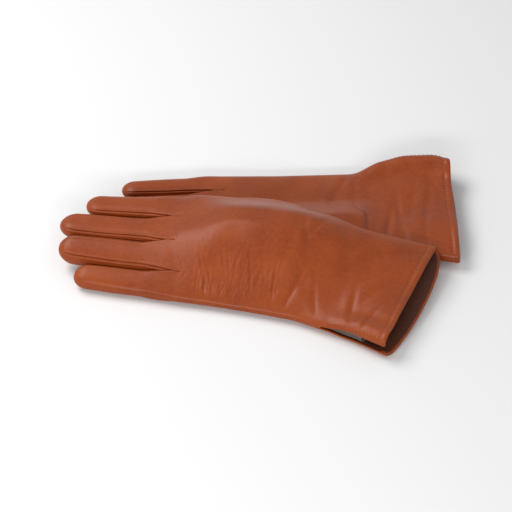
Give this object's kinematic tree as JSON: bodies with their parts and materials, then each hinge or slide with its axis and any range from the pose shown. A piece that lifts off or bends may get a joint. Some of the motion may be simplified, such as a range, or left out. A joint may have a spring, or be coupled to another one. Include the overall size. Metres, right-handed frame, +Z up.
{
  "type": "touchscreen gloves",
  "caption": "Pair of short lined leather dress gloves with flared vented cuffs, the left one lying on the right one",
  "frame": {"origin": "middle of the pair's footprint, on the surface it lies on", "axes": "+X from the fingertips to the cuffs, +Y from the left glove to the right one, +Z up out of the backs of the hands"},
  "size_m": [0.2746, 0.186, 0.0408],
  "materials": {
    "leather": "smooth cognac lambskin with a soft gloss",
    "lining": "fine grey-brown knit",
    "facing": "darker turned-in leather",
    "thread": "waxed polyester thread",
    "touch_pad": "silver-coated conductive jersey"
  },
  "bodies": {
    "right_hand": {"right_back_panel": "leather", "right_palm_panel": "leather", "right_hand_lining": "lining", "right_cuff_facing": "facing", "right_cuff_stitching": "thread", "right_thumb_stall": "leather", "right_thumb_lining": "lining", "right_thumb_touch_pad": "touch_pad"},
    "right_index": {"right_index_back": "leather", "right_index_palm": "leather", "right_index_fourchettes": "leather", "right_index_lining": "lining", "right_index_touch_pad": "touch_pad"},
    "right_middle": {"right_middle_back": "leather", "right_middle_palm": "leather", "right_middle_fourchettes": "leather", "right_middle_lining": "lining"},
    "right_ring": {"right_ring_back": "leather", "right_ring_palm": "leather", "right_ring_fourchettes": "leather", "right_ring_lining": "lining"},
    "right_pinky": {"right_pinky_back": "leather", "right_pinky_palm": "leather", "right_pinky_fourchettes": "leather", "right_pinky_lining": "lining"},
    "left_hand": {"left_back_panel": "leather", "left_palm_panel": "leather", "left_hand_lining": "lining", "left_cuff_facing": "facing", "left_cuff_stitching": "thread", "left_thumb_stall": "leather", "left_thumb_lining": "lining", "left_thumb_touch_pad": "touch_pad"},
    "left_index": {"left_index_back": "leather", "left_index_palm": "leather", "left_index_fourchettes": "leather", "left_index_lining": "lining", "left_index_touch_pad": "touch_pad"},
    "left_middle": {"left_middle_back": "leather", "left_middle_palm": "leather", "left_middle_fourchettes": "leather", "left_middle_lining": "lining"},
    "left_ring": {"left_ring_back": "leather", "left_ring_palm": "leather", "left_ring_fourchettes": "leather", "left_ring_lining": "lining"},
    "left_pinky": {"left_pinky_back": "leather", "left_pinky_palm": "leather", "left_pinky_fourchettes": "leather", "left_pinky_lining": "lining"}
  },
  "joints": [
    {"name": "right_index_bend", "type": "hinge", "parent": "right_hand", "child": "right_index", "pos_m": [-0.03067, 0.00163, 0], "axis": [0.0262, 0.9997, 0], "range_deg": [-60, 0]},
    {"name": "right_middle_bend", "type": "hinge", "parent": "right_hand", "child": "right_middle", "pos_m": [-0.03089, 0.02463, 0], "axis": [-0.0087, 1, 0], "range_deg": [-60, 0]},
    {"name": "right_ring_bend", "type": "hinge", "parent": "right_hand", "child": "right_ring", "pos_m": [-0.03155, 0.04711, 0], "axis": [-0.0523, 0.9986, 0], "range_deg": [-60, 0]},
    {"name": "right_pinky_bend", "type": "hinge", "parent": "right_hand", "child": "right_pinky", "pos_m": [-0.02617, 0.06677, 0.011], "axis": [-0.0698, 0.9976, 0], "range_deg": [0, 40]},
    {"name": "left_index_bend", "type": "hinge", "parent": "left_hand", "child": "left_index", "pos_m": [-0.0539, 0.02944, 0.0228], "axis": [0.0785, 0.9969, 0], "range_deg": [0, 40]},
    {"name": "left_middle_bend", "type": "hinge", "parent": "left_hand", "child": "left_middle", "pos_m": [-0.05652, 0.00659, 0.0228], "axis": [0.1132, 0.9936, 0], "range_deg": [0, 40]},
    {"name": "left_ring_bend", "type": "hinge", "parent": "left_hand", "child": "left_ring", "pos_m": [-0.05979, -0.01735, 0.0196], "axis": [0.1491, 0.9414, 0.3026], "range_deg": [0, 40]},
    {"name": "left_pinky_bend", "type": "hinge", "parent": "left_hand", "child": "left_pinky", "pos_m": [-0.0565, -0.03732, 0.0128], "axis": [0.1668, 0.9458, 0.2787], "range_deg": [0, 40]},
    {"name": "left_glove_lift", "type": "slide", "parent": "right_hand", "child": "left_hand", "axis": [0, 0, 1], "range_m": [0, 0.12]}
  ]
}
